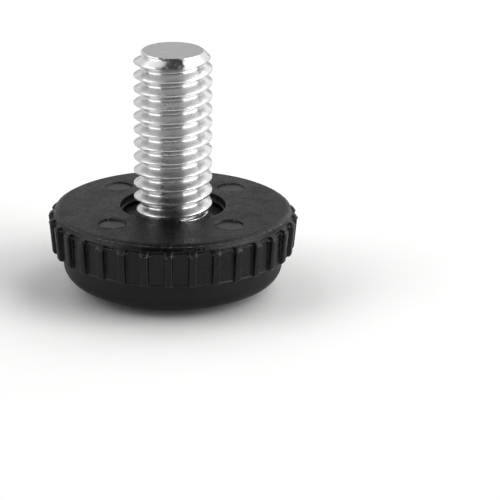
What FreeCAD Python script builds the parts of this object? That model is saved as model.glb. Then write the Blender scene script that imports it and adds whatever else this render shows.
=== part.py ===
"""Furniture levelling foot: a 5/16"-18 screw held by its head in a small round foot.

The foot is two black mouldings. The lower one is the sole, with a hexagonal socket for the
screw's head, and the upper one is a ribbed cap that closes the socket and is staked to it by
four posts. The socket turns the screw when the ribs are turned, and leaves the head enough
play to tilt, so that the sole lies flat on an uneven floor.

Millimetres, +Z up along the screw, origin at the middle of the sole's flat.
"""

import FreeCAD
import Part
import Sketcher
import math
import os
import re

# name, value, what it is
SIZES = [
    ("foot_height", 8.6, "sole to the edge of the hole in the cap"),
    ("hole_radius", 5.32, "hole in the cap"),
    ("hole_lip", 0.17, "ring inside the hole, at the underside of the plate"),
    ("hole_lip_height", 0.15, "height of that ring"),
    ("plate_thickness", 0.85, "cap's plate, at the hole"),
    ("plate_fall", 0.2, "fall of the plate from the hole to the skirt"),
    ("wall_radius", 12.05, "skirt between the ribs, at the top"),
    ("wall_draft", 0.15, "how far the skirt draws in to its lower edge"),
    ("skirt_thickness", 1.05, "skirt between the ribs, at the top"),
    ("band_height", 4.51, "edge of the hole to the skirt's lower edge"),
    ("rim_round", 0.75, "rounding between plate and skirt"),
    ("rib_count", 32, "ribs around the skirt"),
    ("rib_width", 0.73, "width of a rib"),
    ("rib_top_rise", 0.52, "ribs' outer face off the skirt, at the top"),
    ("rib_foot_rise", 0.36, "ribs' outer face off the skirt, at the lower edge"),
    ("rib_drop", 1.3, "edge of the hole to the top of a rib's full section"),
    ("rib_end", 0.5, "height of the slope that ends a rib at the top"),
    ("rib_edge", 0.14, "bevel along a rib's outer corners"),
    ("skirt_gap", 0.05, "clearance between the skirt and the neck of the lower moulding"),
    ("skirt_ledge", 0.65, "skirt's overhang beyond the lower moulding"),
    ("side_draft", 0.14, "how far the lower moulding draws in to where its rounding starts"),
    ("side_drop", 1.32, "skirt's lower edge to that line"),
    ("side_share", 0.686, "radius of the rounding at the side as a share of that line's height"),
    ("sole_inset", 5.61, "side of the lower moulding to the flat of the sole"),
    ("post_count", 4, "posts that hold the cap"),
    ("post_wall", 0.174, "socket's wall at the thinnest, beside a post's shank"),
    ("post_head_radius", 1.45, "flattened end of a post"),
    ("post_shank_radius", 1.1, "post where it passes through the plate"),
    ("post_ledge", 0.4, "plate left under a post's flattened end"),
    ("post_sink", 0.2, "end of a post below the plate's surface"),
    ("thread_radius", 3.96875, "outside of the thread, 5/16 inch across"),
    ("thread_pitch", 1.41111, "18 threads to the inch"),
    ("thread_share", 0.6137, "depth of the groove as a share of the pitch"),
    ("thread_flank", 30, "slope of the groove's sides, degrees"),
    ("thread_overrun", 0.05, "how far the groove's tool stands outside the thread"),
    ("thread_start", 0.8, "groove at the +X side above the head"),
    ("stud_length", 17.46, "screw under its head, 11/16 inch"),
    ("stud_neck_radius", 3.6, "plain neck under the thread"),
    ("stud_neck_length", 0.8, "length of the neck"),
    ("tip_bevel", 0.89, "bevel at the screw's tip"),
    ("head_flats", 12.7, "head across its flats, 1/2 inch"),
    ("head_height", 5.16, "height of the head"),
    ("head_face", 0.95, "round face of the head as a share of its flats"),
    ("socket_side", 0.33, "clearance between a flat of the head and the socket"),
    ("tilt_gap", 0.45, "clearance over and under the head, for its tilt"),
    ("dome_radius", 2.0, "low dome in the socket's floor that the head stands on"),
    ("dome_gap", 0.02, "top of the dome to the head"),
]

# heights and lengths that follow from the sizes
UNDERSIDE = "foot_height - plate_thickness"
SKIRT_EDGE = "foot_height - band_height"
WALL_FOOT = "wall_radius - wall_draft"
SKIRT_BORE = "wall_radius - skirt_thickness"
NECK = f"{SKIRT_BORE} - skirt_gap"
RIB_ROOT = f"({SKIRT_BORE} + {WALL_FOOT}) / 2"
SHOULDER = f"{WALL_FOOT} - skirt_ledge"
SIDE = f"{SHOULDER} - side_draft"
SIDE_HEIGHT = f"{SKIRT_EDGE} - side_drop"
SOLE = f"{SIDE} - sole_inset"
POST_CIRCLE = "(head_flats / 2 + socket_side) / cos(15deg) + post_shank_radius + post_wall"
POST_HEAD_BASE = f"{UNDERSIDE} + post_ledge"
POST_SURFACE = (
    f"foot_height - plate_fall * ({POST_CIRCLE} - hole_radius) / (wall_radius - hole_radius)")
HEAD_BASE = f"{UNDERSIDE} - tilt_gap - head_height"
SOCKET_FLOOR = f"{HEAD_BASE} - tilt_gap"
THREAD_DEPTH = "thread_pitch * thread_share"
TIP = "head_height + stud_length"

doc = FreeCAD.newDocument("levelling_foot")
sheet = doc.addObject("Spreadsheet::Sheet", "Sizes")
for row, (alias, value, note) in enumerate(SIZES, start=1):
    sheet.set(f"A{row}", note)
    sheet.set(f"B{row}", str(value))
    sheet.setAlias(f"B{row}", alias)
doc.recompute()


def bind(item, prop, formula):
    """Drive one property by a formula of the sheet's names."""
    item.setExpression(prop, re.sub(r"\b([a-z]+_[a-z_]+)\b", r"Sizes.\1", formula))


def size(formula):
    """Value of a formula of the sheet's names."""
    return float(sheet.evalExpression(formula))


def new_body(label):
    body = doc.addObject("PartDesign::Body", label)
    body.Label = label
    return body


def origin_item(body, role):
    return next(item for item in body.Origin.OriginFeatures if item.Role == role)


def new_sketch(body, name, role, lift="0"):
    """Sketch on one of the body's own planes, lifted along that plane's normal."""
    sketch = body.newObject("Sketcher::SketchObject", name)
    sketch.AttachmentSupport = [(origin_item(body, role), "")]
    sketch.MapMode = "FlatFace"
    if lift != "0":
        bind(sketch, "AttachmentOffset.Base.z", lift)
    return sketch


def pin_point(sketch, edge, end, across, along):
    """Hold one end of an edge at a place given by two formulas."""
    for kind, axis, formula in (("DistanceX", -2, across), ("DistanceY", -1, along)):
        value = size(formula)
        if abs(value) < 1e-9:
            sketch.addConstraint(Sketcher.Constraint("PointOnObject", edge, end, axis))
            continue
        index = sketch.addConstraint(Sketcher.Constraint(kind, -1, 1, edge, end, value))
        bind(sketch, f"Constraints[{index}]", formula)


def draw_outline(sketch, corners):
    """Closed outline of straight edges through corners given by formulas."""
    points = [FreeCAD.Vector(size(across), size(along), 0) for across, along in corners]
    first = sketch.GeometryCount
    for start, end in zip(points, points[1:] + points[:1]):
        sketch.addGeometry(Part.LineSegment(start, end), False)
    for number, (across, along) in enumerate(corners):
        following = first + (number + 1) % len(corners)
        sketch.addConstraint(Sketcher.Constraint("Coincident", first + number, 2, following, 1))
        pin_point(sketch, first + number, 1, across, along)


def draw_circle(sketch, across, along, radius):
    centre = FreeCAD.Vector(size(across), size(along), 0)
    edge = sketch.addGeometry(Part.Circle(centre, FreeCAD.Vector(0, 0, 1), size(radius)), False)
    pin_point(sketch, edge, 3, across, along)
    index = sketch.addConstraint(Sketcher.Constraint("Radius", edge, size(radius)))
    bind(sketch, f"Constraints[{index}]", radius)


def revolve(body, name, sketch):
    turned = body.newObject("PartDesign::Revolution", name)
    turned.Profile = sketch
    turned.ReferenceAxis = (origin_item(body, "Z_Axis"), [""])
    turned.Angle = 360
    return turned


def pad(body, name, sketch, length):
    raised = body.newObject("PartDesign::Pad", name)
    raised.Profile = sketch
    bind(raised, "Length", length)
    return raised


def pocket(body, name, sketch, depth):
    """Cut a sketch downwards, out of the body."""
    cut = body.newObject("PartDesign::Pocket", name)
    cut.Profile = sketch
    bind(cut, "Length", depth)
    return cut


def repeat_around(body, name, features, count):
    """Copies of features, evenly spaced about the Z axis."""
    ring = body.newObject("PartDesign::PolarPattern", name)
    ring.Originals = features
    ring.Axis = (origin_item(body, "Z_Axis"), [""])
    ring.Angle = 360
    bind(ring, "Occurrences", count)
    body.Tip = ring
    return ring


def post_place():
    """Place of the first post, midway between the X and Y axes."""
    return (f"({POST_CIRCLE}) * sqrt(0.5)", f"({POST_CIRCLE}) * sqrt(0.5)")


def hexagon(circumradius):
    """Six corners about the origin, the first on +X."""
    return [
        (f"({circumradius}) * {math.cos(math.radians(60 * k)):.12f}",
         f"({circumradius}) * {math.sin(math.radians(60 * k)):.12f}")
        for k in range(6)
    ]


def circle_edge(shape, radius, height):
    """Name of the shape's circular edge with this radius at this height."""
    for number, edge in enumerate(shape.Edges, start=1):
        curve = edge.Curve
        if isinstance(curve, Part.Circle) and abs(curve.Radius - radius) < 1e-4:
            if abs(curve.Center.z - height) < 1e-4:
                return f"Edge{number}"
    raise ValueError("no such edge")


def rib_section(body, name, height, outer):
    """Plan of one rib at a height, from inside the skirt's wall to its bevelled outer face."""
    sketch = new_sketch(body, name, "XY_Plane", height)
    shoulder = f"{outer} - rib_edge"
    draw_outline(sketch, [
        (RIB_ROOT, "-rib_width / 2"),
        (shoulder, "-rib_width / 2"),
        (outer, "-rib_width / 2 + rib_edge"),
        (outer, "rib_width / 2 - rib_edge"),
        (shoulder, "rib_width / 2"),
        (RIB_ROOT, "rib_width / 2"),
    ])
    return sketch


def ribbed_cap():
    """Moulded cap: plate with the hole, skirt, ribs, and stepped holes for the posts."""
    body = new_body("ribbed_cap")
    shell = new_sketch(body, "cap_section", "XZ_Plane")
    draw_outline(shell, [
        ("hole_radius", "foot_height"),
        ("wall_radius", "foot_height - plate_fall"),
        (WALL_FOOT, SKIRT_EDGE),
        (SKIRT_BORE, SKIRT_EDGE),
        (SKIRT_BORE, UNDERSIDE),
        ("hole_radius - hole_lip", UNDERSIDE),
        ("hole_radius - hole_lip", f"{UNDERSIDE} + hole_lip_height"),
        ("hole_radius", f"{UNDERSIDE} + hole_lip_height"),
    ])
    turned = revolve(body, "cap_shell", shell)
    doc.recompute()

    rim = body.newObject("PartDesign::Fillet", "rim")
    corner = circle_edge(turned.Shape, size("wall_radius"), size("foot_height - plate_fall"))
    rim.Base = (turned, [corner])
    bind(rim, "Radius", "rim_round")
    doc.recompute()

    rib_top = "foot_height - rib_drop"
    foot = rib_section(body, "rib_at_foot", SKIRT_EDGE, f"{WALL_FOOT} + rib_foot_rise")
    top = rib_section(body, "rib_at_top", rib_top, "wall_radius + rib_top_rise")
    end = rib_section(body, "rib_at_end", f"{rib_top} + rib_end", "wall_radius")
    rib = body.newObject("PartDesign::AdditiveLoft", "rib")
    rib.Profile = foot
    rib.Sections = [top, end]
    rib.Ruled = True
    doc.recompute()
    repeat_around(body, "ribs", [rib], "rib_count")

    across, along = post_place()
    shank = new_sketch(body, "post_hole", "XY_Plane", "foot_height")
    draw_circle(shank, across, along, "post_shank_radius")
    through = pocket(body, "post_hole_cut", shank, "2 * plate_thickness")
    seat = new_sketch(body, "post_seat", "XY_Plane", "foot_height")
    draw_circle(seat, across, along, "post_head_radius")
    step = pocket(body, "post_seat_cut", seat, "plate_thickness - post_ledge")
    doc.recompute()
    repeat_around(body, "post_holes", [through, step], "post_count")
    return body


def draw_sole_section(sketch):
    """Half section of the lower moulding: neck, shoulder, side, and two arcs down to the sole."""
    wide = size("sole_inset")
    high = size(SIDE_HEIGHT)
    small = size(f"side_share * ({SIDE_HEIGHT})")
    large = (wide ** 2 + high ** 2 - 2 * wide * small) / (2 * (high - small))
    small_centre = FreeCAD.Vector(size(SIDE) - small, high, 0)
    large_centre = FreeCAD.Vector(size(SOLE), large, 0)
    join = math.atan2(small_centre.y - large_centre.y, small_centre.x - large_centre.x)
    up = FreeCAD.Vector(0, 0, 1)
    large_arc = Part.ArcOfCircle(Part.Circle(large_centre, up, large), -math.pi / 2, join)
    small_arc = Part.ArcOfCircle(Part.Circle(small_centre, up, small), join, 0)

    corners = [
        (SIDE, SIDE_HEIGHT),
        (SHOULDER, SKIRT_EDGE),
        (NECK, SKIRT_EDGE),
        (NECK, UNDERSIDE),
        ("0", UNDERSIDE),
        ("0", "0"),
        (SOLE, "0"),
    ]
    points = [FreeCAD.Vector(size(across), size(along), 0) for across, along in corners]
    for start, end in zip(points, points[1:]):
        sketch.addGeometry(Part.LineSegment(start, end), False)
    flat = len(points) - 2
    sketch.addGeometry(large_arc, False)
    sketch.addGeometry(small_arc, False)
    for edge in range(flat + 1):
        sketch.addConstraint(Sketcher.Constraint("Coincident", edge, 2, edge + 1, 1))
    sketch.addConstraint(Sketcher.Constraint("Tangent", flat + 1, 2, flat + 2, 1))
    sketch.addConstraint(Sketcher.Constraint("Coincident", flat + 2, 2, 0, 1))
    for edge, (across, along) in enumerate(corners):
        last = edge == len(corners) - 1
        pin_point(sketch, flat if last else edge, 2 if last else 1, across, along)
    # both arcs' centres stand level with, or over, the line that they leave
    level = sketch.addConstraint(Sketcher.Constraint("DistanceY", -1, 1, flat + 2, 3, high))
    bind(sketch, f"Constraints[{level}]", SIDE_HEIGHT)
    over = sketch.addConstraint(Sketcher.Constraint("DistanceX", -1, 1, flat + 1, 3, large_centre.x))
    bind(sketch, f"Constraints[{over}]", SOLE)
    radius = sketch.addConstraint(Sketcher.Constraint("Radius", flat + 2, small))
    bind(sketch, f"Constraints[{radius}]", f"side_share * ({SIDE_HEIGHT})")


def foot_body():
    """Moulded lower part: sole, side, neck inside the skirt, head socket, dome and posts."""
    body = new_body("foot_body")
    section = new_sketch(body, "body_section", "XZ_Plane")
    draw_sole_section(section)
    revolve(body, "body_round", section)
    doc.recompute()

    mouth = new_sketch(body, "socket_plan", "XY_Plane", UNDERSIDE)
    draw_outline(mouth, hexagon("(head_flats + 2 * socket_side) / sqrt(3)"))
    pocket(body, "socket", mouth, f"{UNDERSIDE} - ({SOCKET_FLOOR})")
    doc.recompute()

    low = new_sketch(body, "dome_section", "XZ_Plane")
    draw_dome_section(low)
    revolve(body, "dome", low)
    doc.recompute()

    across, along = post_place()
    root = new_sketch(body, "post_root", "XY_Plane", UNDERSIDE)
    draw_circle(root, across, along, "post_shank_radius")
    shank = pad(body, "post_shank", root, "post_ledge")
    doc.recompute()
    crown = new_sketch(body, "post_crown", "XY_Plane", POST_HEAD_BASE)
    draw_circle(crown, across, along, "post_head_radius")
    head = pad(body, "post_head", crown, f"{POST_SURFACE} - post_sink - ({POST_HEAD_BASE})")
    doc.recompute()
    repeat_around(body, "posts", [shank, head], "post_count")
    return body


def draw_dome_section(sketch):
    """Half section of the dome: floor, arc and axis."""
    floor = size(SOCKET_FLOOR)
    rise = size("tilt_gap - dome_gap")
    foot = size("dome_radius")
    ball = (foot ** 2 + rise ** 2) / (2 * rise)
    centre = FreeCAD.Vector(0, floor + rise - ball, 0)
    edge_angle = math.atan2(floor - centre.y, foot)
    arc = Part.ArcOfCircle(Part.Circle(centre, FreeCAD.Vector(0, 0, 1), ball), edge_angle, math.pi / 2)
    bottom = FreeCAD.Vector(0, floor, 0)
    sketch.addGeometry(Part.LineSegment(bottom, FreeCAD.Vector(foot, floor, 0)), False)
    sketch.addGeometry(arc, False)
    sketch.addGeometry(Part.LineSegment(FreeCAD.Vector(0, floor + rise, 0), bottom), False)
    for edge in range(3):
        sketch.addConstraint(Sketcher.Constraint("Coincident", edge, 2, (edge + 1) % 3, 1))
    pin_point(sketch, 0, 1, "0", SOCKET_FLOOR)
    pin_point(sketch, 1, 1, "dome_radius", SOCKET_FLOOR)
    pin_point(sketch, 2, 1, "0", f"{SOCKET_FLOOR} + tilt_gap - dome_gap")
    sketch.addConstraint(Sketcher.Constraint("PointOnObject", 1, 3, -2))


def threaded_stud():
    """Screw, modelled from the outer face of its head upwards and then lifted into the socket."""
    body = new_body("threaded_stud")
    plan = new_sketch(body, "head_plan", "XY_Plane")
    draw_outline(plan, hexagon("head_flats / sqrt(3)"))
    pad(body, "head", plan, "head_height")
    doc.recompute()

    # the bevel that rounds the head's outer face, 30 degrees to that face
    bevel = new_sketch(body, "head_bevel", "XZ_Plane")
    face = "head_flats * head_face / 2"
    outside = "head_flats"
    draw_outline(bevel, [
        (face, "0"),
        (outside, "0"),
        (outside, f"({outside} - {face}) * tan(30deg)"),
    ])
    cut = body.newObject("PartDesign::Groove", "head_bevel_cut")
    cut.Profile = bevel
    cut.ReferenceAxis = (origin_item(body, "Z_Axis"), [""])
    cut.Angle = 360
    doc.recompute()

    section = new_sketch(body, "shank_section", "XZ_Plane")
    draw_outline(section, [
        ("0", "head_height / 2"),
        ("stud_neck_radius", "head_height / 2"),
        ("stud_neck_radius", "head_height + stud_neck_length"),
        ("thread_radius", "head_height + stud_neck_length + thread_radius - stud_neck_radius"),
        ("thread_radius", f"{TIP} - tip_bevel"),
        ("thread_radius - tip_bevel", TIP),
        ("0", TIP),
    ])
    revolve(body, "shank", section)
    doc.recompute()

    groove = new_sketch(body, "groove_section", "XZ_Plane")
    middle = "head_height + thread_start"
    half_root = "thread_pitch / 12"
    half_mouth = f"({half_root} + ({THREAD_DEPTH} + thread_overrun) * tan(thread_flank * 1deg))"
    inner = f"thread_radius - {THREAD_DEPTH}"
    outer = "thread_radius + thread_overrun"
    draw_outline(groove, [
        (inner, f"{middle} - {half_root}"),
        (outer, f"{middle} - {half_mouth}"),
        (outer, f"{middle} + {half_mouth}"),
        (inner, f"{middle} + {half_root}"),
    ])
    thread = body.newObject("PartDesign::SubtractiveHelix", "thread")
    thread.Profile = groove
    thread.ReferenceAxis = (origin_item(body, "Z_Axis"), [""])
    thread.Mode = 0
    bind(thread, "Pitch", "thread_pitch")
    bind(thread, "Height", "stud_length - thread_start + thread_pitch")
    thread.Outside = False
    doc.recompute()
    bind(body, "Placement.Base.z", HEAD_BASE)
    return body


pieces = [foot_body(), ribbed_cap(), threaded_stud()]
doc.recompute()

for item in doc.Objects:
    if "Invalid" in item.State or "Error" in item.State:
        raise RuntimeError(f"{item.Label}: {item.State}")
os.makedirs("parts", exist_ok=True)
for piece in pieces:
    shape = piece.Shape
    if shape.isNull() or not shape.isValid() or len(shape.Solids) != 1:
        raise RuntimeError(f"{piece.Label} isn't one valid solid")
    shape.exportStep(f"parts/{piece.Label}.step")
    print(piece.Label, round(shape.Volume, 1), shape.BoundBox)
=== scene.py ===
import math

import bpy
import numpy as np
from mathutils import Matrix, Vector, noise


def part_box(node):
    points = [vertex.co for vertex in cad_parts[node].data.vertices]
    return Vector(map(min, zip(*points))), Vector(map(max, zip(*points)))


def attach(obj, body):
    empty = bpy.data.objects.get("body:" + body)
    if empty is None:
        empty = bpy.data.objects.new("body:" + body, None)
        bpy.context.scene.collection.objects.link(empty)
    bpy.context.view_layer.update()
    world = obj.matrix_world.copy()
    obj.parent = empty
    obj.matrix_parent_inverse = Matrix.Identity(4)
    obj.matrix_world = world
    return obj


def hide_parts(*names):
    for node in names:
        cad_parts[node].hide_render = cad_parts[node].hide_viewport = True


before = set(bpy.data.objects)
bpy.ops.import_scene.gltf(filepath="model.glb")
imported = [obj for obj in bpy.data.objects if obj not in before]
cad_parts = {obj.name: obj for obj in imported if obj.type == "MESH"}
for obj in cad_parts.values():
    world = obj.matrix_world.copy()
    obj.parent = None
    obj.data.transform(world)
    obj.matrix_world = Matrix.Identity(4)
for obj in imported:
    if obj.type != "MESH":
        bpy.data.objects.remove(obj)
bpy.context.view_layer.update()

# ---------------------------------------------------------------------------------------------
# Foot body: the lower moulding. Black polypropylene out of a polished mould: sole, rounded
# side, a neck that fills the cap's skirt, the hexagonal socket for the stud's head with a low
# dome in its floor, and four posts whose ends are flattened over the cap to hold it.
# ---------------------------------------------------------------------------------------------
MM = 0.001
TURN = 2 * math.pi

body_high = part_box("foot_body")[1]
cap_low, cap_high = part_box("ribbed_cap")
stud_low, stud_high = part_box("threaded_stud")

plate_edge = cap_high.z / MM
skirt_edge = cap_low.z / MM
head_base = stud_low.z / MM
post_top = body_high.z / MM + 0.07

plate_thickness = 0.85
plate_underside = plate_edge - plate_thickness
neck_radius = 10.95
shoulder_radius = 11.25
side_radius = 11.11
side_height = 2.77
side_round = 1.9
sole_radius = 5.5
tilt_gap = 0.45
dome_gap = 0.02
dome_radius = 2.0
head_flats = 12.7
socket_side = 0.33
socket_flats = head_flats + 2 * socket_side
socket_floor = head_base - tilt_gap

post_circle = 8.19
post_radius = 1.45
post_shank = 1.1
post_ledge = plate_underside + 0.4
post_angles = [TURN / 8 + quarter * TURN / 4 for quarter in range(4)]


def arc(centre, radius, start, end, steps):
    """Points of an arc in the half section, angles in degrees from the outward direction."""
    return [
        (centre[0] + radius * math.cos(math.radians(start + (end - start) * k / steps)),
         centre[1] + radius * math.sin(math.radians(start + (end - start) * k / steps)))
        for k in range(steps + 1)
    ]


def hexagon_radius(angles, flats):
    """Distance from the middle to a hexagon's side at each angle, a corner being at angle 0."""
    sixth = TURN / 6
    return flats / 2 / np.cos(np.mod(angles, sixth) - sixth / 2)


def make_piece(name, points, faces, body, node=None):
    """Mesh object from points in millimetres and faces, smooth, riding on a body."""
    mesh = bpy.data.meshes.new(name)
    mesh.from_pydata((np.asarray(points) * MM).tolist(), [], faces)
    mesh.validate()
    mesh.shade_smooth()
    piece = bpy.data.objects.new(name, mesh)
    bpy.context.scene.collection.objects.link(piece)
    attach(piece, body)
    if node:
        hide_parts(node)
    return piece


def ring_faces(first, second, count):
    """Faces between two rings of points that both go round the same way, the second outside."""
    return [
        (first + k, first + (k + 1) % count, second + (k + 1) % count, second + k)
        for k in range(count)
    ]


def stack_rings(rings, closed=False, caps=True):
    """Points and faces of a skin through rings. Closed joins the last ring to the first."""
    count = len(rings[0])
    points = [point for ring in rings for point in ring]
    faces = []
    for row in range(len(rings) - 1):
        faces += ring_faces(row * count, (row + 1) * count, count)
    last = (len(rings) - 1) * count
    if closed:
        faces += ring_faces(last, 0, count)
    elif caps:
        low = len(points)
        points.append(tuple(np.mean(rings[0], axis=0)))
        points.append(tuple(np.mean(rings[-1], axis=0)))
        faces += [(low, (k + 1) % count, k) for k in range(count)]
        faces += [(low + 1, last + k, last + (k + 1) % count) for k in range(count)]
    return points, faces


body_steps = 240
body_angles = np.arange(body_steps) * TURN / body_steps


def body_ring(radius, height):
    """Ring of the foot body, round or of the socket's hexagon."""
    radii = radius if isinstance(radius, np.ndarray) else np.full(body_steps, radius)
    return [
        (r * math.cos(a), r * math.sin(a), height) for r, a in zip(radii, body_angles)
    ]


side_run = side_radius - sole_radius
large_round = (side_run ** 2 + side_height ** 2 - 2 * side_run * side_round) / (
    2 * (side_height - side_round))
join_angle = math.degrees(math.atan2(
    side_height - large_round, side_run - side_round))
shoulder_edge = 0.12
outline = [(radius, 0.0) for radius in (1.0, 2.5, 4.0, 5.0)]
outline += arc((sole_radius, large_round), large_round, -90, join_angle, 16)
outline += arc((side_radius - side_round, side_height), side_round, join_angle, 0, 14)[1:]
outline += [(side_radius + 0.07, (side_height + skirt_edge) / 2)]
outline += arc((shoulder_radius - shoulder_edge, skirt_edge - shoulder_edge),
               shoulder_edge, 0, 90, 4)
outline += [(neck_radius, skirt_edge), (neck_radius, skirt_edge + 0.02)]
outline += [(neck_radius, plate_underside - 0.02), (neck_radius, plate_underside)]
socket_ring = hexagon_radius(body_angles, socket_flats)
body_rings = [body_ring(radius, height) for radius, height in outline]
body_rings += [
    body_ring(socket_ring + 0.05, plate_underside),
    body_ring(socket_ring, plate_underside - 0.05),
    body_ring(socket_ring, socket_floor + 0.05),
    body_ring(socket_ring - 0.05, socket_floor),
    body_ring(dome_radius + 0.1, socket_floor),
]
dome_rise = tilt_gap - dome_gap
dome_ball = (dome_radius ** 2 + dome_rise ** 2) / (2 * dome_rise)
for share in (1.0, 0.75, 0.5, 0.25, 0.1):
    across = dome_radius * share
    drop = dome_ball - math.sqrt(dome_ball ** 2 - across ** 2)
    body_rings.append(body_ring(across, socket_floor + dome_rise - drop))
body_points, body_faces = stack_rings(body_rings)
body_face_count = len(body_faces)

# the posts: each a column whose end was pressed flat, so its rim is uneven and its face dished
post_steps = 96
for number, post_angle in enumerate(post_angles):
    middle = (post_circle * math.cos(post_angle), post_circle * math.sin(post_angle))
    levels = [(post_shank, plate_underside - 0.3), (post_shank, post_ledge),
              (post_radius - 0.06, post_ledge), (post_radius - 0.06, post_top - 0.06),
              (post_radius - 0.08, post_top - 0.02), (post_radius - 0.13, post_top)]
    levels += [(radius, post_top) for radius in (1.25, 1.1, 0.9, 0.7, 0.5, 0.3, 0.1)]
    rings = []
    for radius, height in levels:
        ring = []
        for k in range(post_steps):
            angle = k * TURN / post_steps
            reach = radius
            lift = 0.0
            if height > post_top - 0.1:
                place = Vector((math.cos(angle) * radius, math.sin(angle) * radius, 7.0 * number))
                reach += 0.05 * noise.noise(place * 2.6) * (radius / post_radius) ** 3
                lift = 0.015 * noise.noise(place * 0.9)
            ring.append((middle[0] + reach * math.cos(angle),
                         middle[1] + reach * math.sin(angle), height + lift))
        rings.append(ring)
    post_points, post_faces = stack_rings(rings)
    start = len(body_points)
    body_points += post_points
    body_faces += [tuple(start + index for index in face) for face in post_faces]

foot_body = make_piece("foot_body_moulding", body_points, body_faces, "foot",
                       "foot_body")


def linear(colour):
    """sRGB hex to the linear colour that shaders take."""
    parts = [int(colour[k:k + 2], 16) / 255 for k in (1, 3, 5)]
    return (*[c / 12.92 if c <= 0.04045 else ((c + 0.055) / 1.055) ** 2.4 for c in parts], 1.0)


def new_material(name):
    """Empty material and its node tree."""
    material = bpy.data.materials.new(name)
    material.use_nodes = True
    material.node_tree.nodes.clear()
    return material, material.node_tree


def add_node(tree, kind, inputs=None, **settings):
    """One node with its settings. An input is a value, or another node's output to link."""
    node = tree.nodes.new(kind)
    for name, value in settings.items():
        setattr(node, name, value)
    for name, value in (inputs or {}).items():
        if isinstance(value, bpy.types.NodeSocket):
            tree.links.new(value, node.inputs[name])
        else:
            node.inputs[name].default_value = value
    return node


def in_millimetres(tree):
    """A piece's own coordinates in millimetres, so that pattern scales are per millimetre."""
    place = add_node(tree, "ShaderNodeTexCoord").outputs["Object"]
    scaled = add_node(tree, "ShaderNodeVectorMath", {"Vector": place, "Scale": 1 / MM},
                      operation="SCALE")
    return scaled.outputs["Vector"]


def polished_moulding():
    """Black polypropylene from a polished mould: an even, slightly waxy black with a soft
    broad highlight, faint flow marks, and only a trace of grain."""
    material, tree = new_material("polypropylene_polished_mould")
    place = in_millimetres(tree)
    flow = add_node(tree, "ShaderNodeTexNoise", {
        "Vector": place, "Scale": 1 / 4, "Detail": 3.0, "Roughness": 0.5})
    grain = add_node(tree, "ShaderNodeTexNoise", {
        "Vector": place, "Scale": 1 / 0.22, "Detail": 4.0, "Roughness": 0.6})
    dull = add_node(tree, "ShaderNodeMapRange", {
        "Value": flow.outputs["Fac"], "From Min": 0.3, "From Max": 0.7,
        "To Min": 0.42, "To Max": 0.52})
    tint = add_node(tree, "ShaderNodeMix", {
        "Factor": flow.outputs["Fac"], "A": linear("#08080a"), "B": linear("#0c0c0d")},
        data_type="RGBA")
    bump = add_node(tree, "ShaderNodeBump", {
        "Height": grain.outputs["Fac"], "Strength": 0.25, "Distance": 0.02 * MM})
    shader = add_node(tree, "ShaderNodeBsdfPrincipled", {
        "Base Color": tint.outputs["Result"], "Roughness": dull.outputs["Result"],
        "IOR": 1.49, "Normal": bump.outputs["Normal"]})
    add_node(tree, "ShaderNodeOutputMaterial", {"Surface": shader.outputs["BSDF"]})
    return material


def pressed_end():
    """The same polypropylene where a hot punch pressed it flat: smoother, with a paler grey base
    colour that is painted sheen, in cloudy patches."""
    material, tree = new_material("polypropylene_pressed_end")
    place = in_millimetres(tree)
    bloom = add_node(tree, "ShaderNodeTexNoise", {
        "Vector": place, "Scale": 1 / 0.6, "Detail": 4.0, "Roughness": 0.6})
    grain = add_node(tree, "ShaderNodeTexNoise", {
        "Vector": place, "Scale": 1 / 0.2, "Detail": 3.0})
    dull = add_node(tree, "ShaderNodeMapRange", {
        "Value": bloom.outputs["Fac"], "From Min": 0.3, "From Max": 0.7,
        "To Min": 0.3, "To Max": 0.38})
    # painted sheen: the pressed ends' grey base colour stands in for light caught by their smooth
    # faces
    tint = add_node(tree, "ShaderNodeMix", {
        "Factor": bloom.outputs["Fac"], "A": linear("#29292b"), "B": linear("#39393c")},
        data_type="RGBA")
    bump = add_node(tree, "ShaderNodeBump", {
        "Height": grain.outputs["Fac"], "Strength": 0.3, "Distance": 0.02 * MM})
    shader = add_node(tree, "ShaderNodeBsdfPrincipled", {
        "Base Color": tint.outputs["Result"], "Roughness": dull.outputs["Result"],
        "IOR": 1.49, "Normal": bump.outputs["Normal"]})
    add_node(tree, "ShaderNodeOutputMaterial", {"Surface": shader.outputs["BSDF"]})
    return material


foot_body.data.materials.append(polished_moulding())
foot_body.data.materials.append(pressed_end())
for face in foot_body.data.polygons:
    if face.index >= body_face_count:
        face.material_index = 1

# ---------------------------------------------------------------------------------------------
# Threaded stud: a 5/16 inch screw, cold-headed and roll-threaded from steel wire and then
# nickel plated. Its hexagonal head lies in the foot's socket; the thread fades into a plain
# neck just above it, and the tip is bevelled down to the thread's root.
# ---------------------------------------------------------------------------------------------
thread_radius = 3.955
thread_pitch = 25.4 / 18
thread_depth = 0.866
crest_half = thread_pitch / 16
crest_round = 0.05
root_round = 0.203
neck = 3.6
head_height = 5.16
head_top = head_base + head_height
tip = stud_high.z / MM
tip_face_radius = 3.06
tip_slope = math.tan(math.radians(43))
crest_below_tip = 1.845
stud_steps = 192
stud_angles = np.arange(stud_steps) * TURN / stud_steps


def half_thread():
    """Half a thread's section, from the middle of its crest to the middle of the groove:
    distances along the screw and the radius at each."""
    section = [(0.0, thread_radius)]
    bevel_start = crest_half - crest_round * math.tan(math.radians(30))
    for degrees in (0, 20, 40, 60):
        bend = math.radians(degrees)
        section.append((bevel_start + crest_round * math.sin(bend),
                        thread_radius - crest_round * (1 - math.cos(bend))))
    flank_start = section[-1]
    root_middle = (thread_pitch / 2, thread_radius - thread_depth + root_round)
    root_arc = [
        (root_middle[0] - root_round * math.sin(math.radians(degrees)),
         root_middle[1] - root_round * math.cos(math.radians(degrees)))
        for degrees in (60, 45, 30, 15, 0)
    ]
    for share in (0.25, 0.5, 0.75):
        section.append(tuple(
            a + (b - a) * share for a, b in zip(flank_start, root_arc[0])))
    return section + root_arc


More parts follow.
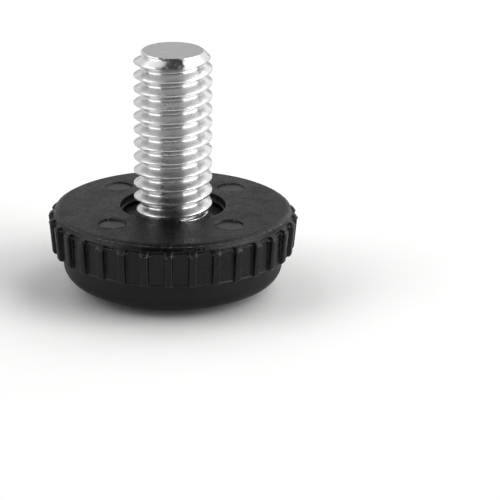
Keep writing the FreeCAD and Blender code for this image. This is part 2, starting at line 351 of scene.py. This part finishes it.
half = half_thread()
one_thread = list(half[:-1])
one_thread += [(thread_pitch - along, radius) for along, radius in reversed(half[1:])]
rows_per_turn = len(one_thread)


def ease(low, high, value):
    """0 below low, 1 above high, smooth between."""
    share = min(max((value - low) / (high - low), 0.0), 1.0)
    return share * share * (3 - 2 * share)


def stud_surface(radius, height, angle):
    """Radius of the screw at a place: the thread, fading into the neck, under the tip's bevel."""
    crest_share = ease(head_top + 0.55, head_top + 1.3, height)
    root_share = ease(head_top + 0.63, head_top + 0.8, height)
    share = crest_share if radius > neck else root_share
    radius = neck + (radius - neck) * share
    if radius > thread_radius - 0.15:
        skin = Vector((math.cos(angle) * 9, math.sin(angle) * 9, height * 4))
        radius += 0.014 * noise.noise(skin)
    cut = Vector((math.cos(angle), math.sin(angle), height))
    torn = 0.04 * noise.noise(cut * 2.3)
    patch = math.exp(-(math.sin((angle - 1.49 * math.pi) / 2) / 0.2) ** 2)
    torn -= 0.16 * patch * (0.4 + noise.noise(cut * 9.0)) * ease(tip - 1.1, tip - 0.8, height)
    torn *= ease(tip - 1.2, tip - 0.2, height)
    return min(radius, tip_face_radius + (tip - height) / tip_slope + torn)


stud_points = []
stud_faces = []


def stud_ring(radii, height):
    """Adds a ring of the screw and gives the number of its first point."""
    start = len(stud_points)
    for angle, radius in zip(stud_angles, np.broadcast_to(radii, stud_steps)):
        stud_points.append((radius * math.cos(angle), radius * math.sin(angle), height))
    return start


head_sides = hexagon_radius(stud_angles, head_flats)
head_face = 0.475 * head_flats
bevel_rise = math.tan(math.radians(30))
head_ring_starts = [stud_ring(radius, head_base) for radius in (0.5, 2.5, 4.5, head_face)]
for share in (0.5, 1.0):
    start = len(stud_points)
    for angle, side in zip(stud_angles, head_sides):
        radius = head_face + (side - 0.03 - head_face) * share
        height = head_base + max(radius - head_face, 0.0) * bevel_rise
        stud_points.append((radius * math.cos(angle), radius * math.sin(angle), height))
    head_ring_starts.append(start)
head_ring_starts.append(stud_ring(head_sides, head_base + 0.7))
head_ring_starts.append(stud_ring(head_sides, head_top - 0.06))
head_ring_starts.append(stud_ring(head_sides - 0.06, head_top))
head_ring_starts.append(stud_ring(neck + 0.3, head_top))
head_ring_starts.append(stud_ring(neck + 0.09, head_top + 0.09))
neck_ring = stud_ring(neck, head_top + 0.3)
head_ring_starts.append(neck_ring)
for first, second in zip(head_ring_starts, head_ring_starts[1:]):
    stud_faces += ring_faces(first, second, stud_steps)
stud_points.append((0.0, 0.0, head_base))
foot_centre = len(stud_points) - 1
stud_faces += [(foot_centre, (k + 1) % stud_steps, k) for k in range(stud_steps)]

# the thread's rows climb with the thread; rows past either end fold into that end's ring
neck_height = head_top + 0.3
tip_ring = stud_ring(tip_face_radius, tip)
crest_start = tip - crest_below_tip
turns_down = math.ceil((crest_start - neck_height) / thread_pitch) + 1
turns_up = 3
row_total = (turns_down + turns_up) * rows_per_turn
row_points = {}
for row in range(row_total):
    turn, place = divmod(row, rows_per_turn)
    along, radius = one_thread[place]
    base = crest_start + (turn - turns_down) * thread_pitch + along
    for step, angle in enumerate(stud_angles):
        height = base + thread_pitch * angle / TURN
        if height <= neck_height:
            row_points[row, step] = neck_ring + step
        elif height >= tip:
            row_points[row, step] = tip_ring + step
        else:
            reach = stud_surface(radius, height, angle)
            row_points[row, step] = len(stud_points)
            stud_points.append((reach * math.cos(angle), reach * math.sin(angle), height))
for row in range(row_total - rows_per_turn - 1):
    for step in range(stud_steps):
        following = (step + 1) % stud_steps
        across = rows_per_turn if following == 0 else 0
        corners = [row_points[row, step], row_points[row + across, following],
                   row_points[row + across + 1, following], row_points[row + 1, step]]
        unique = list(dict.fromkeys(corners))
        if len(unique) > 2:
            stud_faces.append(tuple(unique))

stud_side_faces = len(stud_faces)
tip_edge = tip_ring
for radius, sink in ((tip_face_radius - 0.07, 0.0), (2.2, 0.0), (1.2, 0.01), (0.4, 0.012)):
    inner = stud_ring(radius, tip - sink)
    stud_faces += ring_faces(tip_edge, inner, stud_steps)
    tip_edge = inner
stud_points.append((0.0, 0.0, tip - 0.012))
stud_faces += [(len(stud_points) - 1, tip_edge + k, tip_edge + (k + 1) % stud_steps)
               for k in range(stud_steps)]

stud = make_piece("nickel_plated_stud", stud_points, stud_faces, "stud",
                  "threaded_stud")


def nickel_plate():
    """Bright nickel on rolled steel: a warm grey mirror broken by fine rolling lines that run
    round the screw, and by small pits where the wire's skin showed through."""
    material, tree = new_material("nickel_plated_steel")
    place = in_millimetres(tree)
    split = add_node(tree, "ShaderNodeSeparateXYZ", {"Vector": place})
    flat = add_node(tree, "ShaderNodeCombineXYZ", {
        "X": split.outputs["X"], "Y": split.outputs["Y"], "Z": 0.0})
    radius = add_node(tree, "ShaderNodeVectorMath", {0: flat.outputs["Vector"]},
                      operation="LENGTH")
    turned = add_node(tree, "ShaderNodeCombineXYZ", {
        "X": radius.outputs["Value"], "Y": 0.0, "Z": split.outputs["Z"]})
    lines = add_node(tree, "ShaderNodeTexNoise", {
        "Vector": turned.outputs["Vector"], "Scale": 1 / 0.06, "Detail": 3.0})
    cloud = add_node(tree, "ShaderNodeTexNoise", {
        "Vector": place, "Scale": 1 / 1.5, "Detail": 4.0})
    pits = add_node(tree, "ShaderNodeTexNoise", {
        "Vector": place, "Scale": 1 / 0.25, "Detail": 2.0})
    rough = add_node(tree, "ShaderNodeMapRange", {
        "Value": cloud.outputs["Fac"], "From Min": 0.3, "From Max": 0.7,
        "To Min": 0.25, "To Max": 0.32})
    tint = add_node(tree, "ShaderNodeMix", {
        "Factor": cloud.outputs["Fac"], "A": linear("#cdcdcd"), "B": linear("#dcdcdd")},
        data_type="RGBA")
    rolled = add_node(tree, "ShaderNodeBump", {
        "Height": lines.outputs["Fac"], "Strength": 0.5, "Distance": 0.01 * MM})
    pitted = add_node(tree, "ShaderNodeBump", {
        "Height": pits.outputs["Fac"], "Strength": 0.15, "Distance": 0.02 * MM,
        "Normal": rolled.outputs["Normal"]})
    rolling = add_node(tree, "ShaderNodeTangent", direction_type="RADIAL", axis="Z")
    shader = add_node(tree, "ShaderNodeBsdfPrincipled", {
        "Base Color": tint.outputs["Result"], "Metallic": 1.0,
        "Roughness": rough.outputs["Result"], "Anisotropic": 0.75,
        "Anisotropic Rotation": 0.25,
        "Normal": pitted.outputs["Normal"], "Tangent": rolling.outputs["Tangent"]})
    add_node(tree, "ShaderNodeOutputMaterial", {"Surface": shader.outputs["BSDF"]})
    return material


def nickel_cut_end():
    """The same nickel over the wire's cropped end: an even satin grey, a little cloudy, with
    the faint scratches of the cut."""
    material, tree = new_material("nickel_plated_cut_end")
    place = in_millimetres(tree)
    stretch = add_node(tree, "ShaderNodeMapping", {"Vector": place, "Scale": (1.0, 7.0, 1.0)})
    scratches = add_node(tree, "ShaderNodeTexNoise", {
        "Vector": stretch.outputs["Vector"], "Scale": 1 / 0.9, "Detail": 4.0})
    cloud = add_node(tree, "ShaderNodeTexNoise", {
        "Vector": place, "Scale": 1 / 2.0, "Detail": 4.0})
    rough = add_node(tree, "ShaderNodeMapRange", {
        "Value": cloud.outputs["Fac"], "From Min": 0.3, "From Max": 0.7,
        "To Min": 0.22, "To Max": 0.32})
    tint = add_node(tree, "ShaderNodeMix", {
        "Factor": scratches.outputs["Fac"], "A": linear("#bcbcbc"), "B": linear("#d6d6d7")},
        data_type="RGBA")
    bump = add_node(tree, "ShaderNodeBump", {
        "Height": scratches.outputs["Fac"], "Strength": 0.3, "Distance": 0.02 * MM})
    shader = add_node(tree, "ShaderNodeBsdfPrincipled", {
        "Base Color": tint.outputs["Result"], "Metallic": 1.0,
        "Roughness": rough.outputs["Result"], "Normal": bump.outputs["Normal"]})
    add_node(tree, "ShaderNodeOutputMaterial", {"Surface": shader.outputs["BSDF"]})
    return material


stud.data.materials.append(nickel_plate())
stud.data.materials.append(nickel_cut_end())
for face in stud.data.polygons:
    if face.index >= stud_side_faces:
        face.material_index = 1

# ---------------------------------------------------------------------------------------------
# Ribbed cap: the upper moulding, black polypropylene from a spark-eroded mould. A round plate
# with the wide hole, a rounded rim, and a skirt with 32 ribs that fingers turn it by. It is
# held down by the posts' flattened ends, which lie a little below its surface.
# ---------------------------------------------------------------------------------------------
hole_radius = 5.32
hole_lip = 0.17
hole_lip_height = 0.15
hole_edge = 0.08
plate_fall = 0.2
wall_radius = 12.05
wall_foot_radius = 11.9
rim_round = 0.75
skirt_bore = 11.0
rib_count = 32
rib_top_radius = 12.57
rib_foot_radius = 12.26
rib_top_height = plate_edge - 1.3
rib_end = 0.5
rib_foot_round = 0.28

# angles of the columns: close together over a rib's corners and over the posts' ends
rib_pitch = TURN / rib_count
half_steps = [0.0, 0.165, 0.22, 0.27, 0.31, 0.34, 0.36, 0.375, 0.39, 0.41, 0.43, 0.47,
              0.52, 0.58, 0.66, 0.85]
rib_angles = []
for rib in range(rib_count):
    middle = rib * rib_pitch
    rib_angles += [middle - step / wall_radius for step in reversed(half_steps[1:])]
    rib_angles += [middle + step / wall_radius for step in half_steps]
    rib_angles.append(middle + rib_pitch / 2)
post_spread = 1.75 / post_circle
fine_step = 0.05 / post_circle
for post_angle in post_angles:
    rib_angles += list(np.arange(post_angle - post_spread, post_angle + post_spread, fine_step))
all_angles = np.sort(np.mod(rib_angles, TURN))
cap_angles = [all_angles[0]]
for angle in all_angles[1:]:
    if angle - cap_angles[-1] > 0.0006:
        cap_angles.append(angle)
cap_angles = np.array(cap_angles)
cap_steps = len(cap_angles)
from_rib = np.abs(np.mod(cap_angles + rib_pitch / 2, rib_pitch) - rib_pitch / 2) * wall_radius


def rib_share(distance):
    """How much of a rib's height stands at a distance from its middle: flat, a rounded corner,
    a steep side and a small fillet at its foot."""
    points = [0.0, 0.165, 0.22, 0.27, 0.31, 0.34, 0.36, 0.375, 0.41, 0.43, 0.47, 0.60]
    share = [1.0, 1.0, 0.985, 0.95, 0.895, 0.825, 0.745, 0.62, 0.1, 0.04, 0.01, 0.0]
    return np.interp(distance, points, share)


def rib_face(height):
    """Radius of the ribs' outer face at a height: drafted, its top end rounded over into the
    rim and its foot rounded under."""
    share = min((height - skirt_edge) / (rib_top_height - skirt_edge), 1.0)
    face = rib_foot_radius + (rib_top_radius - rib_foot_radius) * share
    top = (height - rib_top_height) / rib_end
    if top > 1:
        return 0.0
    if top > 0:
        face = wall_radius - 0.06 + (face - wall_radius + 0.06) * math.sqrt(1 - top ** 2)
    foot = min(max((skirt_edge + rib_foot_round - height) / rib_foot_round, 0.0), 1.0)
    return wall_foot_radius + (face - wall_foot_radius) * math.sqrt(1 - 0.7 * foot ** 2)


def plate_height(radius):
    """Height of the plate's top, which falls from the hole to the rim."""
    return plate_edge - plate_fall * (radius - hole_radius) / (wall_radius - hole_radius)


def ragged(angle, fineness, seed):
    """Uneven value round the cap, from about -1 to 1."""
    return noise.noise(Vector((math.cos(angle) * fineness, math.sin(angle) * fineness, seed)))


# painted highlight at each point: a paler colour on the burrs round the posts' holes, the rim's
# lip, the ribs' top burrs and corners and the skirt's foot edge, in the order the rings are made
painted_highlight = []


def place_on_plate(radius, angle):
    """Point of the plate, with the stepped holes for the posts and the burr round each, whose
    paler colour is a painted highlight.
    """
    point_highlight = 0.0
    across = radius * math.cos(angle)
    along = radius * math.sin(angle)
    height = plate_height(radius)
    for number, post_angle in enumerate(post_angles):
        middle = (post_circle * math.cos(post_angle), post_circle * math.sin(post_angle))
        off = (across - middle[0], along - middle[1])
        distance = math.hypot(*off)
        if distance > post_radius + 0.5:
            continue
        turn = math.atan2(off[1], off[0])
        edge = post_radius + 0.05 * ragged(turn, 1.6, 11.0 * number)
        edge += 0.05 * ragged(turn, 6.0, 7.0 + 11.0 * number)
        if abs(distance - edge) < 0.028:
            across = middle[0] + off[0] / distance * edge
            along = middle[1] + off[1] / distance * edge
            distance = edge
        if distance < edge:
            painted_highlight.append(0.0)
            return (across, along, post_ledge)
        burr_and_highlight = max(0.3 + ragged(turn, 1.6, 5.0 + 11.0 * number), 0.0)
        burr_and_highlight *= 1 + 0.8 * ragged(turn, 9.0, 3.0 + number)
        burr_and_highlight *= math.exp(-((distance - edge) / 0.08) ** 2)
        # painted highlight: the burr round each post's hole is coloured paler
        point_highlight = 0.5 * burr_and_highlight
        height += 0.09 * burr_and_highlight
    painted_highlight.append(point_highlight)
    return (across, along, height)


def cap_ring(radius, height):
    """Round ring of the cap."""
    painted_highlight.extend([0.0] * cap_steps)
    return [(radius * math.cos(a), radius * math.sin(a), height) for a in cap_angles]


cap_rings = [
    cap_ring(hole_radius - hole_lip, plate_underside),
    cap_ring(hole_radius - hole_lip, plate_underside + hole_lip_height - 0.03),
    cap_ring(hole_radius - hole_lip + 0.03, plate_underside + hole_lip_height),
    cap_ring(hole_radius - 0.02, plate_underside + hole_lip_height),
    cap_ring(hole_radius, plate_underside + hole_lip_height + 0.02),
]
cap_rings += [
    cap_ring(radius, height) for radius, height in
    arc((hole_radius + hole_edge, plate_edge - hole_edge), hole_edge, 180, 90, 4)
]
rim_start = wall_radius - rim_round
plate_radii = [5.6, 6.0, 6.4]
plate_radii += list(np.arange(post_circle - 1.7, post_circle + 1.7, 0.05))
plate_radii += [10.2, 10.6, 11.0, 11.2]
for radius in plate_radii:
    cap_rings.append([place_on_plate(radius, angle) for angle in cap_angles])


def skirt_ring(radius, height, lip=0.0):
    """Ring of the rim or the skirt, with the ribs, the burr across each rib's top, and a ragged
    lip, or a groove where lip is below 0. The lip, the burrs and the ribs' corners get a painted
    highlight, a paler colour."""
    face = rib_face(height)
    flare = 1 + 0.3 * max((height - rib_top_height - 0.35) / 0.15, 0.0) ** 2
    crumb = math.exp(-((height - rib_top_height - 0.02) / 0.05) ** 2)
    ring = []
    for angle, distance in zip(cap_angles, from_rib):
        torn = max(ragged(angle, 30.0, 2.0) + 0.6 * ragged(angle, 90.0, 4.0) + 0.1, 0.0)
        reach = radius + lip * (0.05 + 0.12 * torn)
        rib_corner_highlight = math.exp(-((distance - 0.33) / 0.05) ** 2) if face > radius else 0.0
        reach += max(face - reach, 0.0) * float(rib_share(distance / flare))
        ear = 0.0
        if 0.15 < distance < 0.62:
            ear = crumb * max(0.5 + ragged(angle, 45.0, 9.0), 0.0)
        reach += 0.14 * ear
        # painted highlight: paler colour on the lip, on the burrs across the rib tops and along
        # the ribs' corners
        painted_highlight.append(max(lip, 0.0) * (0.15 + torn) + 0.7 * ear + 0.1 * rib_corner_highlight)
        ring.append((reach * math.cos(angle), reach * math.sin(angle), height))
    return ring


rim_height = plate_height(rim_start) - rim_round
# round the rim from the plate down: degrees, and how far the mould's parting edge stands out,
# which also sets the strength of its painted highlight
lip_profile = [(90, 0), (82, 0), (74, 0), (67, 0), (62, 0), (56, 0), (50, 0.3), (45, 0.7),
               (42, 0.7), (39, 0), (35, -0.3), (31, -0.3), (27, 0), (23, 0)]
for degrees, lip in lip_profile:
    bend = math.radians(degrees)
    cap_rings.append(skirt_ring(rim_start + rim_round * math.cos(bend),
                                rim_height + rim_round * math.sin(bend), lip))
rim = arc((rim_start, rim_height), rim_round, 21, 0, 9)
for radius, height in rim:
    cap_rings.append(skirt_ring(radius, height))
wall_top = rim[-1][1]
foot_edge = 0.12
# the dark groove over the ribs: height above their tops, and its depth as a lip below 0; above 0
# a small burr with a painted highlight
groove = [(0.46, 0), (0.42, -1.0), (0.36, -1.6), (0.30, -1.6), (0.25, -1.0), (0.22, 0.5),
          (0.18, 0.5), (0.14, 0), (0.1, 0), (0.05, 0), (0, 0), (-0.06, 0)]
wall_profile = [(rib_top_height + above, lip) for above, lip in groove]
wall_profile = [(height, lip) for height, lip in wall_profile if height < wall_top - 0.01]
wall_profile += [(height, 0) for height in
                 np.linspace(rib_top_height - 0.12, skirt_edge + rib_foot_round, 8)]
wall_profile += [(skirt_edge + 0.22, 0), (skirt_edge + 0.16, 0)]
for height, lip in wall_profile:
    share = (height - skirt_edge) / (wall_top - skirt_edge)
    radius = wall_foot_radius + (wall_radius - wall_foot_radius) * share
    cap_rings.append(skirt_ring(radius, height, lip))
# the skirt's foot edge has a small lip, coloured paler as a painted highlight line
for radius, height in arc((wall_foot_radius - foot_edge, skirt_edge + foot_edge),
                          foot_edge, 0, -90, 4):
    cap_rings.append(skirt_ring(radius + 0.03, height, 0.25))
cap_rings.append(cap_ring(skirt_bore + 0.05, skirt_edge))
cap_rings.append(cap_ring(skirt_bore, skirt_edge + 0.05))
cap_rings.append(cap_ring(skirt_bore, plate_underside - 0.05))
cap_rings.append(cap_ring(skirt_bore - 0.05, plate_underside))
cap_points, cap_faces = stack_rings(cap_rings, closed=True)
cap_faces = [tuple(reversed(face)) for face in cap_faces]
cap = make_piece("ribbed_cap_moulding", cap_points, cap_faces, "foot",
                 "ribbed_cap")
# the cap's painted highlight, stored per point for its material
highlight_layer = cap.data.attributes.new("painted_burr_highlight", "FLOAT", "POINT")
highlight_layer.data.foreach_set("value", painted_highlight)


def eroded_moulding():
    """Black polypropylene from a spark-eroded mould: a fine matt grain like very fine sandpaper
    that breaks the light into a soft sheen, with a paler grey painted in as highlight on the
    burrs, the rim's lip, the ribs' corners and the skirt's foot edge."""
    material, tree = new_material("polypropylene_eroded_mould")
    place = in_millimetres(tree)
    grain = add_node(tree, "ShaderNodeTexNoise", {
        "Vector": place, "Scale": 1 / 0.3, "Detail": 2.0, "Roughness": 0.5})
    patches = add_node(tree, "ShaderNodeTexNoise", {
        "Vector": place, "Scale": 1 / 2.5, "Detail": 4.0, "Roughness": 0.6})
    both = add_node(tree, "ShaderNodeMath", {
        0: patches.outputs["Fac"], 1: grain.outputs["Fac"]}, operation="ADD")
    dull = add_node(tree, "ShaderNodeMapRange", {
        "Value": both.outputs["Value"], "From Min": 0.7, "From Max": 1.3,
        "To Min": 0.22, "To Max": 0.52})
    speck = add_node(tree, "ShaderNodeMapRange", {
        "Value": grain.outputs["Fac"], "From Min": 0.5, "From Max": 0.68})
    tint = add_node(tree, "ShaderNodeMix", {
        "Factor": speck.outputs["Result"], "A": linear("#000000"), "B": linear("#161617")},
        data_type="RGBA")
    # painted highlight: a paler grey mixed in where the per-point highlight is set
    burr_and_highlight = add_node(tree, "ShaderNodeAttribute", attribute_name="painted_burr_highlight")
    colour = add_node(tree, "ShaderNodeMix", {
        "Factor": burr_and_highlight.outputs["Fac"], "A": tint.outputs["Result"], "B": linear("#78787a")},
        data_type="RGBA")
    bump = add_node(tree, "ShaderNodeBump", {
        "Height": grain.outputs["Fac"], "Strength": 1.0, "Distance": 0.035 * MM})
    shader = add_node(tree, "ShaderNodeBsdfPrincipled", {
        "Base Color": colour.outputs["Result"], "Roughness": dull.outputs["Result"],
        "IOR": 1.49, "Normal": bump.outputs["Normal"]})
    add_node(tree, "ShaderNodeOutputMaterial", {"Surface": shader.outputs["BSDF"]})
    return material


cap.data.materials.append(eroded_moulding())

# ---------------------------------------------------------------------------------------------
# Studio: a floor of white board, two soft panels overhead, one at each side and three side
# by side behind, with the front left dark, and a long lens a foot away.
# ---------------------------------------------------------------------------------------------
floor_mesh = bpy.data.meshes.new("floor")
floor_mesh.from_pydata([(-3, -3, 0), (3, -3, 0), (3, 3, 0), (-3, 3, 0)], [], [(0, 1, 2, 3)])
floor = bpy.data.objects.new("floor", floor_mesh)
bpy.context.scene.collection.objects.link(floor)


def painted_board():
    """Matt white board, without a highlight of its own."""
    material, tree = new_material("white_board")
    shader = add_node(tree, "ShaderNodeBsdfPrincipled", {
        "Base Color": linear("#f4f4f3"), "Roughness": 0.9, "Specular IOR Level": 0.2})
    add_node(tree, "ShaderNodeOutputMaterial", {"Surface": shader.outputs["BSDF"]})
    return material


floor.data.materials.append(painted_board())


def panel_light(name, place, aim, width, height, brightness):
    """Soft rectangular light at a place, facing a point: metres, and brightness of its face."""
    light = bpy.data.lights.new(name, "AREA")
    light.shape = "RECTANGLE"
    light.size = width
    light.size_y = height
    light.energy = brightness * width * height * math.pi
    lamp = bpy.data.objects.new(name, light)
    bpy.context.scene.collection.objects.link(lamp)
    lamp.location = place
    lamp.rotation_euler = (Vector(aim) - Vector(place)).to_track_quat("-Z", "Y").to_euler()
    return lamp


panel_light("ceiling_left", (-0.34, 0.175, 0.5), (-0.34, 0.175, 0), 0.43, 0.55, 1.1)
panel_light("ceiling_right", (0.34, 0.175, 0.5), (0.34, 0.175, 0), 0.43, 0.55, 1.8)
panel_light("side_left", (-0.483, -0.129, 0.3), (0, 0, 0.3), 0.5, 0.6, 2.2)
panel_light("side_right", (0.467, -0.178, 0.3), (0, 0, 0.3), 0.58, 0.6, 3.6)
panel_light("wall_behind", (0, 0.75, 0.41), (0, 0, 0.1), 0.64, 0.8, 0.65)
panel_light("wall_behind_left", (-0.62, 0.66, 0.41), (0, 0, 0.1), 0.86, 0.8, 0.8)
panel_light("wall_behind_right", (0.62, 0.66, 0.41), (0, 0, 0.1), 0.86, 0.8, 1.05)

world = bpy.data.worlds.new("studio")
bpy.context.scene.world = world
world.use_nodes = True
world.node_tree.nodes["Background"].inputs["Color"].default_value = linear("#b8b9bb")
world.node_tree.nodes["Background"].inputs["Strength"].default_value = 0.2

camera_distance = 0.3049
camera_rise = math.radians(18.92)
camera_turn = math.radians(2.05)
look_right = math.radians(1.463)
look_down = math.radians(0.868)
focus = Vector((0, 0, plate_edge * MM))
towards_camera = Vector((
    math.sin(camera_turn) * math.cos(camera_rise),
    -math.cos(camera_turn) * math.cos(camera_rise),
    math.sin(camera_rise)))
lens = bpy.data.cameras.new("camera")
lens.sensor_width = 36
lens.lens = 217.1
lens.clip_start = 0.01
lens.clip_end = 20
camera = bpy.data.objects.new("camera", lens)
bpy.context.scene.collection.objects.link(camera)
level = (-towards_camera).to_track_quat("-Z", "Y").to_matrix().to_4x4()
camera.matrix_world = (
    Matrix.Translation(focus + towards_camera * camera_distance) @ level
    @ Matrix.Rotation(-look_right, 4, "Y") @ Matrix.Rotation(-look_down, 4, "X"))
bpy.context.scene.camera = camera
bpy.context.scene.view_settings.view_transform = "Standard"
bpy.context.scene.view_settings.gamma = 0.8
